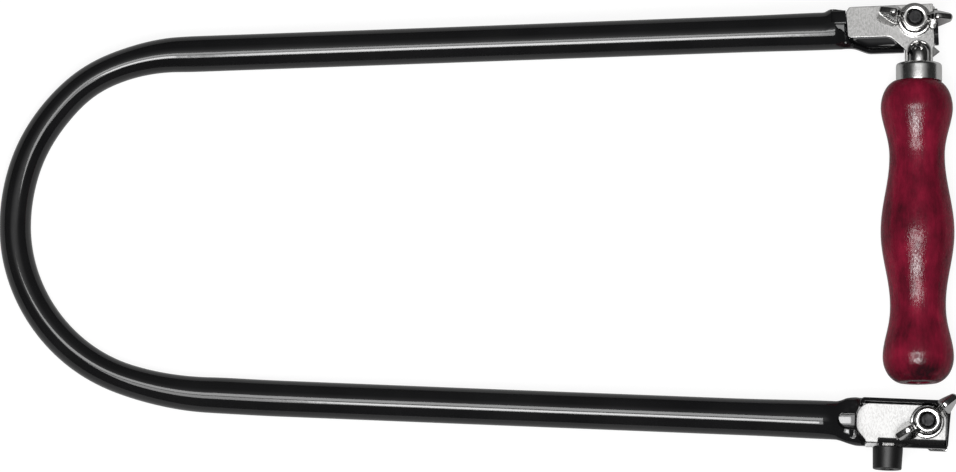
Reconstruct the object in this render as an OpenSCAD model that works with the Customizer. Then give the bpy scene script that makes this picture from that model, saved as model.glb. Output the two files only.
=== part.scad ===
// Fret saw with a bent tube frame, shown with its handle folded into the frame.
// The saw lies on its back. The arms run along X, the handle along Y, and +Z faces the wing nuts.
// All sizes are in millimetres.

/* [Frame] */
// Outer diameter of the tube along the arms
tube_d = 11.8; // [10:0.1:14]
// Outer diameter of the tube around the bend, where bending draws it in
bend_tube_d = 10.2; // [9:0.1:13]
// Wall of the tube, and of the channels pressed from it
tube_wall = 1.2; // [0.8:0.1:1.6]
// Radius of the bend to the middle of the tube
bend_r = 56.5; // [50:0.5:65]
// Turn of the round bend, in degrees
bend_turn = 160; // [150:1:168]
// Radius of the wider curve that leads into the lower arm
sweep_r = 94; // [70:1:120]
// Outward lean of the upper arm, in degrees
upper_tilt = 2.05; // [0:0.05:4]
// Outward lean of the lower arm, in degrees
lower_tilt = 2.3; // [0:0.05:4]
// Length of the upper arm from the bend to its tip
upper_arm_l = 253.8; // [220:0.1:280]
// Distance that the lower arm reaches past the upper one
lower_reach = 3.2; // [0:0.1:6]
// Length over which the drawn tube grows to full size
taper_l = 30; // [15:1:50]

/* [Pressed arm ends] */
// Distance from the middle of the upper arm to the side of its channel that faces the throat
upper_channel_in = 7.2; // [7:0.1:9]
// Distance from the middle of the upper arm to the outer side of its channel
upper_channel_out = 8; // [7.5:0.1:9]
// Distance from the middle of the lower arm to the side of its channel that faces the throat
lower_channel_in = 8.4; // [8.3:0.1:9.5]
// Distance from the middle of the lower arm to the outer side of its channel
lower_channel_out = 7.8; // [7.5:0.1:9]
// Length of the straight part of the channels
channel_l = 30.5; // [28:0.5:36]
// Length of the straight part of the upper channel's inner flange
upper_flange_l = 23; // [18:0.5:25]
// Length over which the tube flares into the channel
flare_l = 7; // [6:0.5:10]
// Height of the flanges above the floor of the channel
flange_h = 5; // [3:0.1:5.4]
// Depth of the channel floor below the tube, so that the pressed back stands proud
back_step = 0.2; // [0.1:0.1:0.6]

/* [Clamps] */
// Diameter of the clamp bolts
bolt_d = 5; // [4:0.1:6]
// Distance of each bolt from the tip of its arm
bolt_setback = 7.9; // [6.5:0.1:10]
// Outward offset of the upper bolt from the middle of its arm
upper_bolt_shift = 3.4; // [2.5:0.1:4]
// Inward offset of the lower bolt from the middle of its arm
lower_bolt_shift = 1.3; // [0:0.1:1.4]
// Diameter of the bolt heads
bolt_head_d = 10.4; // [8:0.1:12]
// Height of the domed bolt heads
bolt_head_h = 2.4; // [1.6:0.1:3]
// Diameter of the washers
washer_d = 11.4; // [10:0.1:11.6]
// Thickness of the washers
washer_t = 1; // [0.6:0.1:1.4]
// Thickness of the jaws that grip the blade behind the arms
jaw_t = 1.5; // [1:0.1:2.5]

/* [Wing nuts] */
// Diameter of the nut's seat
nut_seat_d = 11; // [9:0.1:11.4]
// Height of the hub
nut_hub_h = 6; // [5:0.1:8]
// Diameter of the hub at its top
nut_hub_d = 8.2; // [7.4:0.1:9]
// Reach of each wing from the bolt
wing_reach = 12.4; // [11:0.1:14]
// Height of the wing tips above the seat
wing_h = 10.2; // [9:0.1:13]
// Thickness of the wings
wing_t = 1.9; // [1.4:0.1:3]
// Turn of the upper nut's wings from the arm, in degrees
upper_wing_turn = 169; // [0:1:180]
// Turn of the lower nut's wings from the arm, in degrees
lower_wing_turn = 142; // [0:1:180]

/* [Handle] */
// Distance of the handle's axis from the upper arm's tip
handle_setback = 7; // [5.5:0.1:9]
// Drop from the upper bolt to the top of the ferrule
ferrule_drop = 14.5; // [14:0.1:18]
// Length of the ferrule that shows
ferrule_l = 6.1; // [5:0.1:10]
// Outer diameter of the ferrule
ferrule_d = 15.4; // [15:0.1:18]
// Wall of the ferrule
ferrule_wall = 0.9; // [0.6:0.1:1.2]
// Clearance between the end of the folded grip and the wings of the lower nut
grip_clearance = 1; // [0.5:0.1:6]
// Largest diameter of the upper swell of the grip
grip_top_d = 24.1; // [22:0.1:30]
// Diameter of the upper waist
grip_upper_waist_d = 18.5; // [16:0.1:21]
// Largest diameter of the middle swell
grip_middle_d = 24.6; // [22:0.1:30]
// Diameter of the lower waist
grip_lower_waist_d = 18.6; // [16:0.1:21]
// Largest diameter of the lower swell
grip_bottom_d = 23.7; // [22:0.1:30]
// Diameter of the flat end of the grip
grip_end_d = 13.4; // [11:0.1:16]
// Diameter of the rod through the grip
rod_d = 5; // [4:0.1:5.5]

/* [Handle bracket] */
// Thickness of the front stamping, which clamps in the channel
bracket_t = 1.5; // [1:0.1:2]
// Thickness of the back stamping of the neck
back_half_t = 1.5; // [1:0.1:2]
// Width of the long leg that lies in the channel
leg_w = 10.4; // [9.5:0.1:11]
// Width of the neck
neck_w = 9.3; // [8.5:0.1:10]
// Diameter of the sleeve embossed in the neck
sleeve_d = 7.6; // [6.8:0.1:8.4]

/* [Lower clamp plate] */
// Thickness of the plate
plate_t = 1.2; // [0.8:0.1:2]
// Width of the lug that sits in the notch of the flange
lug_w = 4; // [3:0.1:5]

/* [Bench stop] */
// Diameter of the rubber stop where it meets the arm
stop_d = 10.1; // [8:0.1:12]
// Diameter of the free end of the stop
stop_end_d = 9.5; // [7.5:0.1:11]
// Length of the stop
stop_l = 7.3; // [5:0.1:12]
// Diameter of the rivet's shank
rivet_d = 2.4; // [2:0.1:3]

/* [Fits] */
// Radial gap between a bolt and the pieces that it only passes through
hole_gap = 0.3; // [0.2:0.05:0.5]
// Radial gap between a bolt and its nut
thread_gap = 0.08; // [0.03:0.01:0.1]
// Gap between pieces that are assembled loosely
loose_gap = 0.3; // [0.2:0.05:0.5]

/* [Hidden] */
$fn = 72;

// One overrun serves all cuts
over = 1;
full_turn = 360;
half_turn = 180;
quarter_turn = 90;

// Path of the tube, with the middle of the round bend as its start
upper_start = bend_r * [-sin(upper_tilt), cos(upper_tilt)];
bend_start_turn = quarter_turn + upper_tilt;
bend_end_turn = bend_start_turn + bend_turn;
sweep_turn = half_turn - upper_tilt - lower_tilt - bend_turn;
sweep_centre = (bend_r - sweep_r) * [cos(bend_end_turn), sin(bend_end_turn)];
lower_start = sweep_centre - sweep_r * [sin(lower_tilt), cos(lower_tilt)];
upper_tip = upper_start + upper_arm_l * [cos(upper_tilt), sin(upper_tilt)];
lower_arm_l = (upper_tip[0] + lower_reach - lower_start[0]) / cos(lower_tilt);
lower_tip = lower_start + lower_arm_l * [cos(lower_tilt), -sin(lower_tilt)];

lap_l = 0.6;
lap_step = 0.05;
lap_turn = full_turn * lap_l / (2 * PI * sweep_r);

// Levels of the channel: its back, its floor and the edge of its flanges
tube_r = tube_d / 2;
back_z = -tube_r - back_step;
floor_z = back_z + tube_wall;
flange_z = floor_z + flange_h;
// Where the tube's round front stops, measured back from the tip, and how it slopes down
tube_stop_share = 0.33;
mouth_share = 0.55;
slope_share = 0.8;
tube_stop = channel_l + flare_l * tube_stop_share;
mouth_r = tube_r / 2;
mouth_start = channel_l + flare_l * mouth_share;
slope_start = channel_l + flare_l * slope_share;
throat_side_share = 0.8;

// Cuts in the flanges of the two channels, measured back from the tip
leg_start = channel_l - tube_wall / 2;
leg_chamfer = 1.4;
upper_outer_cut = leg_start + leg_chamfer / 2 + loose_gap;
neck_gap_start = handle_setback + neck_w / 2 + loose_gap;
neck_gap_end = handle_setback - neck_w / 2 - loose_gap;
blade_slot_w = 1.1;
blade_slot_shift = -2.6;
end_wall_low = -upper_channel_in + tube_wall + loose_gap;
end_wall_drop = 1;
end_wall_high = upper_bolt_shift - end_wall_drop;
lock_lug_l = 4.5;
lock_lug_w = 4.7;
lock_lug_out = tube_r + tube_wall;
lock_lug_rise = 2.6;
lock_lug_foot_share = 0.75;
lock_lug_top = flange_z + lock_lug_rise;
notch_inset = 4.5;
notch_setback = channel_l - notch_inset;

// The bracket: its leg in the channel, its shoulder and its neck
leg_low = upper_bolt_shift - leg_w / 2;
leg_high = upper_bolt_shift + leg_w / 2;
shoulder_run = 4.4;
shoulder_start = handle_setback + neck_w / 2 + shoulder_run;
edge_gap = 1.5;

// Handle: everything on its axis, with drop measured down from the upper bolt
upper_bolt_x = upper_tip[0] - bolt_setback * cos(upper_tilt) - upper_bolt_shift * sin(upper_tilt);
upper_bolt_y = upper_tip[1] - bolt_setback * sin(upper_tilt) + upper_bolt_shift * cos(upper_tilt);
handle_x = upper_tip[0] - handle_setback;
seam_z = floor_z;
ferrule_top = upper_bolt_y - ferrule_drop;
grip_top = ferrule_top - ferrule_l;
lower_bolt_x = lower_tip[0] - bolt_setback * cos(lower_tilt) + lower_bolt_shift * sin(lower_tilt);
lower_bolt_y = lower_tip[1] + bolt_setback * sin(lower_tilt) + lower_bolt_shift * cos(lower_tilt);
grip_end = lower_bolt_y + wing_reach + grip_clearance;
grip_l = grip_top - grip_end;
ferrule_cap = 1.2;
ferrule_round = 2;
ferrule_inner_r = ferrule_d / 2 - ferrule_wall;
neck_r = sqrt(pow(neck_w / 2, 2) + pow(max(bracket_t, back_half_t), 2));
neck_hole_r = neck_r + loose_gap;
neck_end = grip_top + ferrule_wall;
tenon_top = ferrule_top - ferrule_cap - loose_gap / 2;
tenon_r = ferrule_inner_r - loose_gap / 6;
sleeve_r = sleeve_d / 2;
sleeve_l = 7.4;
sleeve_top = ferrule_top + sleeve_l;
neck_gap_top = (sleeve_top + loose_gap - upper_tip[1] + handle_setback * sin(upper_tilt)) / cos(upper_tilt);
rod_r = rod_d / 2;
rod_top_share = 0.6;
rod_top = sleeve_top - sleeve_r * rod_top_share;
rod_hole_r = rod_r + loose_gap / 2;
recess_r = 3.75;
recess_depth = 3;
end_nut_h = 2.2;
end_nut_r = recess_r - loose_gap;
rod_end = grip_end + recess_depth - end_nut_h - loose_gap;
pin_d = 1.2;
pin_y = sleeve_top - sleeve_r / 2;

// Thickness stacks on the two bolts
upper_seat_z = floor_z + bracket_t + washer_t;
lower_seat_z = floor_z + plate_t + washer_t;
bolt_r = bolt_d / 2;
bolt_hole_r = bolt_r + hole_gap;
bolt_show = 0.6;
jaw_low = -3.9;
jaw_setback = 0.8;
jaw_l = 14;
jaw_proud = 0.4;
jaw_point = 2.4;

// Rivet of the bench stop
rivet_head_d = 4.3;
rivet_head_h = 0.9;
stop_inset = 5.4;
stop_setback = notch_setback - stop_inset;
stop_rise = 0.3;
stop_z = (back_z + flange_z) / 2 + stop_rise;
stop_recess_d = rivet_head_d + loose_gap;
stop_recess = 2;

// The whole saw is centred on its extent and its lowest swell rests at zero
left_x = -bend_r - bend_tube_d / 2;
wing_lean = half_turn - lower_wing_turn - lower_tilt;
right_x = max(lower_tip[0] + lower_channel_in * sin(lower_tilt),
    lower_bolt_x + wing_reach * cos(wing_lean) + wing_t / 2 * abs(sin(wing_lean)));
top_y = max(upper_bolt_y + washer_d / 2,
    upper_tip[1] + leg_high * cos(upper_tilt) - edge_gap * sin(upper_tilt),
    upper_tip[1] + (upper_channel_out + jaw_proud) * cos(upper_tilt) - jaw_setback * sin(upper_tilt));
bottom_y = lower_tip[1] + (stop_setback - stop_end_d / 2) * sin(lower_tilt)
    - (lower_channel_out + stop_l) * cos(lower_tilt);
middle_x = (left_x + right_x) / 2;
middle_y = (top_y + bottom_y) / 2;
rest_drop = max(grip_top_d, grip_middle_d, grip_bottom_d) / 2 - seam_z;

steel_colour = [0.78, 0.78, 0.76];
dark_steel_colour = [0.42, 0.42, 0.43];
paint_colour = [0.06, 0.06, 0.07];
wood_colour = [0.48, 0.07, 0.14];
rubber_colour = [0.13, 0.13, 0.13];

// Placement

module lay_down() {
    translate([-middle_x, -middle_y, rest_drop]) children();
}

// In both arm frames x runs out to the tip, y runs away from the throat and the tip is at zero
module at_upper_tip() {
    translate([upper_tip[0], upper_tip[1], 0]) rotate([0, 0, upper_tilt]) children();
}

module at_lower_tip() {
    translate([lower_tip[0], lower_tip[1], 0]) rotate([0, 0, -lower_tilt]) mirror([0, 1, 0]) children();
}

// On the handle's axis, with z running up towards the bracket
module on_handle_axis() {
    translate([handle_x, 0, seam_z]) rotate([-quarter_turn, 0, 0]) children();
}

module slab(low, high) {
    translate([0, 0, low]) linear_extrude(high - low) children();
}

// Outline of a box given by two opposite corners
module field(x0, y0, x1, y1) {
    polygon([[x0, y0], [x1, y0], [x1, y1], [x0, y1]]);
}

// Frame

// Each run laps over the one before it and is a hair thicker, as a drawn tube is past its bend
module tube_run(arm_r, drawn_r, upper_cut, lower_cut) {
    rotate([0, 0, bend_start_turn]) rotate_extrude(angle = bend_turn) translate([bend_r, 0]) circle(drawn_r);
    translate([sweep_centre[0], sweep_centre[1], 0]) rotate([0, 0, bend_end_turn - lap_turn])
        rotate_extrude(angle = sweep_turn + lap_turn) translate([sweep_r, 0]) circle(drawn_r + lap_step);
    translate([upper_start[0], upper_start[1], 0]) rotate([0, 0, upper_tilt])
        arm_run(arm_r, drawn_r + lap_step, upper_arm_l - upper_cut);
    translate([lower_start[0], lower_start[1], 0]) rotate([0, 0, -lower_tilt])
        arm_run(arm_r, drawn_r + 2 * lap_step, lower_arm_l - lower_cut);
}

module arm_run(arm_r, start_r, length) {
    rotate([0, quarter_turn, 0]) rotate_extrude() polygon([
        [0, -lap_l], [start_r, -lap_l], [arm_r, taper_l], [arm_r, length], [0, length]
    ]);
}

// The side of a channel that faces the throat, from its flare on, set in by a wall for the hollow
function upper_throat_side(wall) = [
    [-channel_l - flare_l / 2 + 3 * wall, -tube_r + wall],
    [-upper_flange_l - flare_l * throat_side_share, -tube_r + wall],
    [-upper_flange_l, -upper_channel_in + wall],
    [-wall, -upper_channel_in + wall]
];

function lower_throat_side(wall) = [
    [-channel_l + wall, -lower_channel_in + wall],
    [-wall, -lower_channel_in + wall]
];

module channel_block(throat_side, outer) {
    flare_share = 0.55;
    slab(back_z, flange_z) polygon(concat(
        [[-channel_l - flare_l, -tube_r * flare_share]],
        throat_side,
        [[0, outer], [-channel_l, outer], [-channel_l - flare_l, tube_r * flare_share]]
    ));
}

// Everything that opens the tube's end into a channel
module channel_hollow(throat_side, outer) {
    slab(floor_z, tube_r + over) {
        polygon(concat(
            [[-mouth_start, -mouth_r]],
            throat_side,
            [[-tube_wall, outer - tube_wall], [-channel_l + tube_wall, outer - tube_wall],
             [-mouth_start, mouth_r]]
        ));
        translate([-mouth_start, 0]) circle(mouth_r);
    }
    translate([0, outer + over, 0]) rotate([quarter_turn, 0, 0])
        linear_extrude(2 * (outer + over)) polygon([
            [-slope_start, tube_r], [-channel_l + flare_l / 4, flange_z], [over, flange_z],
            [over, tube_r + over], [-slope_start, tube_r + over]
        ]);
}

module upper_tip_cuts() {
    // The outer flange is cut away so that the handle can point outwards in use
    slab(floor_z, flange_z + over)
        field(-upper_outer_cut, upper_channel_out - tube_wall - over, over, upper_channel_out + over);
    // Way through for the neck, open to the tip below the end wall
    slab(back_z - over, flange_z + over) {
        field(-neck_gap_start, -upper_channel_in - over, -neck_gap_end, neck_gap_top);
        field(-neck_gap_start, -upper_channel_in - over, over, end_wall_low);
    }
    slab(floor_z, flange_z + over)
        field(-tube_wall - over, end_wall_high, over, upper_channel_out + over);
    // Slot in the end wall
    slab(floor_z, flange_z + over)
        field(-tube_wall - over, blade_slot_shift - blade_slot_w / 2, over, blade_slot_shift + blade_slot_w / 2);
    slab(back_z - over, flange_z)
        translate([-bolt_setback, upper_bolt_shift]) circle(bolt_hole_r);
}

module lower_tip_cuts() {
    // Notch for the lug of the clamp plate
    slab(floor_z, flange_z + over)
        field(-notch_setback - lug_w / 2 - loose_gap, lower_channel_out - tube_wall - over,
              -notch_setback + lug_w / 2 + loose_gap, lower_channel_out + over);
    slab(back_z - over, flange_z)
        translate([-bolt_setback, -lower_bolt_shift]) circle(bolt_hole_r);
    on_stop_axis() cylinder(h = lower_channel_out * 2, r = rivet_d / 2, center = true);
}

// The corner of the outer flange that is folded in over the mouth
module lock_lug() {
    lug_end = upper_outer_cut + lock_lug_l;
    slab(lock_lug_top - tube_wall, lock_lug_top)
        field(-lug_end, lock_lug_out - lock_lug_w, -upper_outer_cut, lock_lug_out);
    slab(floor_z, lock_lug_top - tube_wall)
        field(-upper_outer_cut - lock_lug_l * lock_lug_foot_share, lock_lug_out - tube_wall,
              -upper_outer_cut, lock_lug_out);
}

module frame_tube() {
    color(paint_colour) lay_down() {
        difference() {
            union() {
                tube_run(tube_r, bend_tube_d / 2, tube_stop, tube_stop);
                at_upper_tip() channel_block(upper_throat_side(0), upper_channel_out);
                at_lower_tip() channel_block(lower_throat_side(0), lower_channel_out);
            }
            tube_run(tube_r - tube_wall, bend_tube_d / 2 - tube_wall,
                     tube_stop - tube_wall, tube_stop - tube_wall);
            at_upper_tip() {
                channel_hollow(upper_throat_side(tube_wall), upper_channel_out);
                upper_tip_cuts();
            }
            at_lower_tip() {
                channel_hollow(lower_throat_side(tube_wall), lower_channel_out);
                lower_tip_cuts();
            }
        }
        at_upper_tip() lock_lug();
    }
}

// Handle bracket

// The sleeve's outside: a rod with a round end, standing on the handle's axis
module sleeve_body() {
    steps = 8;
    rotate_extrude() polygon(concat(
        [[0, neck_end], [sleeve_r, neck_end]],
        [for (i = [0 : steps]) let (a = quarter_turn * i / steps)
            [sleeve_r * cos(a) * (i == steps ? 0 : 1), sleeve_top - sleeve_r + sleeve_r * sin(a)]]
    ));
}

module rod_space() {
    translate([0, 0, neck_end - over]) cylinder(h = rod_top - neck_end + over, r = rod_r);
    rotate([quarter_turn, 0, 0]) translate([0, pin_y, 0]) cylinder(h = sleeve_d * 2, r = pin_d / 2, center = true);
}

module half_space(low, high) {
    translate([handle_x, 0, 0]) slab(low, high)
        field(-neck_w, neck_end - over, neck_w, sleeve_top + over);
}

module handle_bracket() {
    color(steel_colour) lay_down() difference() {
        union() {
            at_upper_tip() slab(floor_z, floor_z + bracket_t) polygon([
                [-leg_start, leg_low + leg_chamfer], [-leg_start + leg_chamfer, leg_low],
                [-shoulder_start, leg_low], [-handle_setback - neck_w / 2, leg_low - shoulder_run],
                [-edge_gap, leg_low - shoulder_run],
                [-edge_gap, leg_high], [-leg_start + leg_chamfer / 2, leg_high],
                [-leg_start - leg_chamfer / 2, leg_high - leg_chamfer]
            ]);
            slab(floor_z, floor_z + bracket_t)
                field(handle_x - neck_w / 2, neck_end, handle_x + neck_w / 2, upper_bolt_y);
            intersection() {
                on_handle_axis() sleeve_body();
                half_space(seam_z, seam_z + sleeve_d);
            }
        }
        at_upper_tip() slab(floor_z - over, flange_z + over)
            translate([-bolt_setback, upper_bolt_shift]) circle(bolt_hole_r);
        on_handle_axis() rod_space();
    }
}

module bracket_back_half() {
    top = sleeve_top - sleeve_r / 2;
    ear = 2.6;
    ear_foot = top - 1.6 * ear;
    ear_head = top - 0.4 * ear;
    color(steel_colour) lay_down() difference() {
        union() {
            slab(seam_z - back_half_t, seam_z) polygon([
                [handle_x - neck_w / 2, neck_end], [handle_x + neck_w / 2, neck_end],
                [handle_x + neck_w / 2, ear_foot], [handle_x + neck_w / 2 + ear, top - ear],
                [handle_x + neck_w / 2, ear_head], [handle_x + neck_w / 2, top],
                [handle_x - neck_w / 2, top]
            ]);
            intersection() {
                on_handle_axis() sleeve_body();
                half_space(seam_z - sleeve_d, seam_z);
            }
        }
        on_handle_axis() rod_space();
    }
}

module sleeve_pin() {
    color(dark_steel_colour) lay_down() on_handle_axis()
        rotate([quarter_turn, 0, 0]) translate([0, pin_y, 0])
            cylinder(h = sleeve_d, r = pin_d / 2, center = true);
}

// Clamp hardware

module washer(seat_z) {
    translate([0, 0, seat_z - washer_t]) difference() {
        cylinder(h = washer_t, r = washer_d / 2);
        translate([0, 0, -over]) cylinder(h = washer_t + 2 * over, r = bolt_hole_r);
    }
}

// Domed head, square neck in the jaw, and a plain shank that ends just above the hub
module clamp_bolt(seat_z) {
    head_z = back_z - jaw_t;
    rim = bolt_head_h / 4;
    steps = 6;
    translate([0, 0, head_z]) rotate_extrude() polygon(concat(
        [[0, 0], [bolt_head_d / 2, 0]],
        [for (i = [0 : steps]) let (a = quarter_turn * i / steps)
            [bolt_head_d / 2 * cos(a) * (i == steps ? 0 : 1), -rim - (bolt_head_h - rim) * sin(a)]]
    ));
    slab(head_z, back_z) square(bolt_d, center = true);
    translate([0, 0, back_z]) cylinder(h = seat_z + nut_hub_h + bolt_show - back_z, r = bolt_r);
}

module wing_nut(seat_z) {
    seat_t = 1.2;
    hub_foot_share = 0.86;
    translate([0, 0, seat_z]) difference() {
        union() {
            cylinder(h = seat_t, r = nut_seat_d / 2);
            translate([0, 0, seat_t]) cylinder(
                h = nut_hub_h - seat_t, r1 = nut_seat_d / 2 * hub_foot_share, r2 = nut_hub_d / 2);
            for (side = [0, half_turn]) rotate([0, 0, side]) wing();
        }
        translate([0, 0, -over]) cylinder(h = wing_h + 2 * over, r = bolt_r + thread_gap);
    }
}

// A wing leaves the hub, rises outwards and ends in a round tip
module wing() {
    root = nut_hub_d / 2 * 0.78;
    tip_r = 1.9;
    tip_x = wing_reach - tip_r;
    tip_z = wing_h - tip_r;
    root_top = nut_hub_h * 0.97;
    saddle_x = nut_hub_d / 2 * 1.34;
    saddle_z = nut_hub_h * 1.15;
    steps = 10;
    first = -50;
    last = 112;
    rotate([quarter_turn, 0, 0]) translate([0, 0, -wing_t / 2]) linear_extrude(wing_t) polygon(concat(
        [[root, nut_hub_h * 0.45], [nut_seat_d / 2 * 1.07, nut_hub_h * 0.56]],
        [for (i = [0 : steps]) let (a = first + (last - first) * i / steps)
            [tip_x + tip_r * cos(a), tip_z + tip_r * sin(a)]],
        [[saddle_x, saddle_z], [nut_hub_d / 2, root_top], [root, root_top]]
    ));
}

// A jaw behind the arm, square-holed for its bolt, with a point towards the blade
module rear_jaw(bolt_y, low, high) {
    slab(back_z - jaw_t, back_z) difference() {
        polygon([
            [-jaw_l, low + jaw_point / 2], [-jaw_l + jaw_point / 2, low], [-jaw_setback - jaw_point, low],
            [-jaw_setback, low + jaw_point], [-jaw_setback, high], [-jaw_l, high]
        ]);
        translate([-bolt_setback, bolt_y]) square(bolt_d, center = true);
    }
}

module upper_washer() {
    color(steel_colour) lay_down() at_upper_tip()
        translate([-bolt_setback, upper_bolt_shift, 0]) washer(upper_seat_z);
}

module upper_wing_nut() {
    color(steel_colour) lay_down() at_upper_tip()
        translate([-bolt_setback, upper_bolt_shift, 0]) rotate([0, 0, upper_wing_turn]) wing_nut(upper_seat_z);
}

module upper_clamp_bolt() {
    color(dark_steel_colour) lay_down() at_upper_tip()
        translate([-bolt_setback, upper_bolt_shift, 0]) clamp_bolt(upper_seat_z);
}

module upper_rear_jaw() {
    color(steel_colour) lay_down() at_upper_tip()
        rear_jaw(upper_bolt_shift, jaw_low, upper_channel_out + jaw_proud);
}

module lower_clamp_plate() {
    low = -lower_channel_in + tube_wall + loose_gap;
    margin = 2.1;
    high = lower_channel_out - tube_wall - margin;
    start = channel_l - tube_wall / 2;
    corner = 3;
    steps = 4;
    color(steel_colour) lay_down() at_lower_tip() slab(floor_z, floor_z + plate_t) difference() {
        union() {
            polygon(concat(
                [[-edge_gap, low], [-edge_gap, high]],
                [for (i = [0 : steps]) let (a = quarter_turn + quarter_turn * i / steps)
                    [-start + corner + corner * cos(a), high - corner + corner * sin(a)]],
                [for (i = [0 : steps]) let (a = half_turn + quarter_turn * i / steps)
                    [-start + corner + corner * cos(a), low + corner + corner * sin(a)]]
            ));
            field(-notch_setback - lug_w / 2, high - over, -notch_setback + lug_w / 2, lower_channel_out);
        }
        translate([-bolt_setback, -lower_bolt_shift]) circle(bolt_hole_r);
    }
}

module lower_washer() {
    color(steel_colour) lay_down() at_lower_tip()
        translate([-bolt_setback, -lower_bolt_shift, 0]) washer(lower_seat_z);
}

module lower_wing_nut() {
    color(steel_colour) lay_down() at_lower_tip()
        translate([-bolt_setback, -lower_bolt_shift, 0]) rotate([0, 0, lower_wing_turn]) wing_nut(lower_seat_z);
}

module lower_clamp_bolt() {
    color(dark_steel_colour) lay_down() at_lower_tip()
        translate([-bolt_setback, -lower_bolt_shift, 0]) clamp_bolt(lower_seat_z);
}

module lower_rear_jaw() {
    color(steel_colour) lay_down() at_lower_tip()
        rear_jaw(-lower_bolt_shift, -lower_channel_in, lower_channel_out + jaw_proud);
}

// Handle

module handle_ferrule() {
    steps = 6;
    outer_r = ferrule_d / 2;
    color(steel_colour) lay_down() on_handle_axis() rotate_extrude() polygon(concat(
        [[neck_hole_r, ferrule_top - ferrule_cap], [ferrule_inner_r, ferrule_top - ferrule_cap],
         [ferrule_inner_r, grip_top], [outer_r, grip_top]],
        [for (i = [0 : steps]) let (a = quarter_turn * i / steps)
            [outer_r - ferrule_round + ferrule_round * cos(a), ferrule_top - ferrule_round + ferrule_round * sin(a)]],
        [[neck_hole_r, ferrule_top]]
    ));
}

// Half the outline of the grip, from its shoulder to its end, as [radius, distance below the ferrule]
shoulder_share = 0.089;
upper_waist_share = 0.248;
middle_share = 0.501;
lower_waist_share = 0.744;
bottom_share = 0.916;
shoulder_root_share = 0.486;
end_root_share = 0.42;

// Smooth change between two radii, leaning towards one end where lean is not one
function ease(a, b, t, lean) = a + (b - a) * (1 - cos(half_turn * pow(t, lean))) / 2;

function grip_span(r0, r1, s0, s1, lean, steps) = [
    for (i = [1 : steps]) let (t = i / steps) [ease(r0, r1, t, lean), (s0 + (s1 - s0) * t) * grip_l]
];

function grip_outline() = let (
    top = grip_top_d / 2,
    root = top * shoulder_root_share,
    bottom = grip_bottom_d / 2,
    foot = bottom * end_root_share,
    end_angle = acos((grip_end_d / 2 - foot) / (bottom - foot)),
    start_angle = acos((ferrule_d / 2 - root) / (top - root)),
    steps = 8
) concat(
    [for (i = [0 : steps]) let (a = start_angle * (1 - i / steps))
        [root + (top - root) * cos(a), grip_l * shoulder_share * (1 - sin(a) / sin(start_angle))]],
    grip_span(top, grip_upper_waist_d / 2, shoulder_share, upper_waist_share, 0.88, steps),
    grip_span(grip_upper_waist_d / 2, grip_middle_d / 2, upper_waist_share, middle_share, 1, steps),
    grip_span(grip_middle_d / 2, grip_lower_waist_d / 2, middle_share, lower_waist_share, 1, steps),
    grip_span(grip_lower_waist_d / 2, bottom, lower_waist_share, bottom_share, 1.15, steps),
    [for (i = [1 : steps]) let (a = end_angle * i / steps)
        [foot + (bottom - foot) * cos(a), grip_l * (bottom_share + (1 - bottom_share) * sin(a) / sin(end_angle))]]
);

module handle_grip() {
    color(wood_colour) lay_down() on_handle_axis() difference() {
        union() {
            rotate_extrude() polygon(concat(
                [[0, grip_top]],
                [for (p = grip_outline()) [p[0], grip_top - p[1]]],
                [[0, grip_end]]
            ));
            translate([0, 0, grip_top - over]) cylinder(h = tenon_top - grip_top + over, r = tenon_r);
        }
        translate([0, 0, grip_end - over]) cylinder(h = tenon_top - grip_end + 2 * over, r = rod_hole_r);
        translate([0, 0, neck_end - loose_gap / 2]) cylinder(h = tenon_top - neck_end + over, r = neck_hole_r);
        translate([0, 0, grip_end - over]) cylinder(h = recess_depth + over, r = recess_r);
    }
}

module handle_rod() {
    color(dark_steel_colour) lay_down() on_handle_axis() difference() {
        translate([0, 0, rod_end]) cylinder(h = rod_top - rod_end, r = rod_r);
        rotate([quarter_turn, 0, 0]) translate([0, pin_y, 0]) cylinder(h = sleeve_d * 2, r = pin_d / 2, center = true);
    }
}

module handle_end_nut() {
    color(dark_steel_colour) lay_down() on_handle_axis() difference() {
        translate([0, 0, grip_end + recess_depth - end_nut_h]) cylinder(h = end_nut_h, r = end_nut_r);
        translate([0, 0, grip_end]) cylinder(h = recess_depth + over, r = rod_r + thread_gap);
    }
}

// Bench stop, on an axis that runs out of the lower arm's flange

module on_stop_axis() {
    translate([-stop_setback, 0, stop_z]) rotate([-quarter_turn, 0, 0]) children();
}

module bench_stop() {
    color(rubber_colour) lay_down() at_lower_tip() on_stop_axis() translate([0, 0, lower_channel_out]) difference() {
        cylinder(h = stop_l, r1 = stop_d / 2, r2 = stop_end_d / 2);
        translate([0, 0, -over]) cylinder(h = stop_l + 2 * over, r = rivet_d / 2);
        translate([0, 0, stop_l - stop_recess]) cylinder(h = stop_recess + over, r = stop_recess_d / 2);
    }
}

module bench_stop_rivet() {
    inner_face = lower_channel_out - tube_wall;
    seat = lower_channel_out + stop_l - stop_recess;
    color(steel_colour) lay_down() at_lower_tip() on_stop_axis() {
        translate([0, 0, inner_face]) cylinder(h = seat - inner_face, r = rivet_d / 2);
        translate([0, 0, inner_face - rivet_head_h]) cylinder(h = rivet_head_h, r = rivet_head_d / 2);
        translate([0, 0, seat]) cylinder(h = rivet_head_h, r = rivet_head_d / 2);
    }
}

frame_tube();
handle_bracket();
bracket_back_half();
sleeve_pin();
upper_washer();
upper_wing_nut();
upper_clamp_bolt();
upper_rear_jaw();
lower_clamp_plate();
lower_washer();
lower_wing_nut();
lower_clamp_bolt();
lower_rear_jaw();
handle_ferrule();
handle_grip();
handle_rod();
handle_end_nut();
bench_stop();
bench_stop_rivet();
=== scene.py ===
import math

import bmesh
import bpy
import numpy as np
from mathutils import Matrix, Vector


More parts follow.
